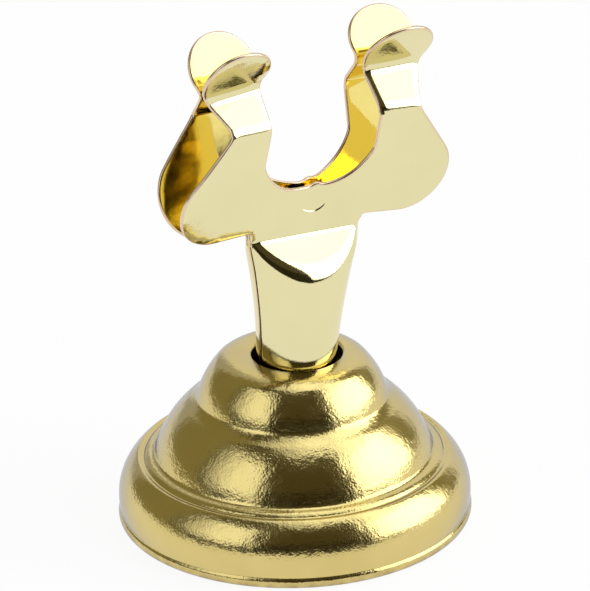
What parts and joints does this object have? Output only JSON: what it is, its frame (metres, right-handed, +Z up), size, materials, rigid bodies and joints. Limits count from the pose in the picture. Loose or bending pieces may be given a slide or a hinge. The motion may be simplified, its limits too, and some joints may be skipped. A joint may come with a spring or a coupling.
{
  "type": "place card holder",
  "caption": "Small gold place card holder: a weighted stepped bell base with a sprung sheet-metal clip whose round flared ears pinch a card upright.",
  "frame": {"origin": "centre of the base's underside, on the table", "axes": "+Z up; -Y is the front, where one leaf of the clip faces the viewer; +X is to the viewer's right"},
  "size_m": [0.035, 0.035, 0.052],
  "materials": {
    "base_gold": "gold plate, faint orange peel",
    "clip_gold": "bright gold plate",
    "cast_metal": "as cast",
    "felt": "felt"
  },
  "bodies": {
    "base": {"base_shell": "base_gold", "cast_weight": "cast_metal", "felt_pad": "felt", "front_leaf_shank": "clip_gold", "rear_leaf_shank": "clip_gold"},
    "front_jaw": {"front_left_arm": "clip_gold", "front_right_arm": "clip_gold"},
    "rear_jaw": {"rear_left_arm": "clip_gold", "rear_right_arm": "clip_gold"}
  },
  "joints": [
    {"name": "front_jaw_flex", "type": "hinge", "parent": "base", "child": "front_jaw", "pos_m": [0.00198, -0.00208, 0.03693], "axis": [0.9973, 0, -0.0732], "range_deg": [0, 4], "stiffness_Nm_per_rad": 0.6},
    {"name": "rear_jaw_flex", "type": "hinge", "parent": "base", "child": "rear_jaw", "pos_m": [0.00198, 0.00208, 0.03693], "axis": [-0.9973, 0, 0.0732], "range_deg": [0, 4], "stiffness_Nm_per_rad": 0.6}
  ],
  "couplings": [
    {"joint": "rear_jaw_flex", "follows": "front_jaw_flex", "ratio": 1}
  ]
}
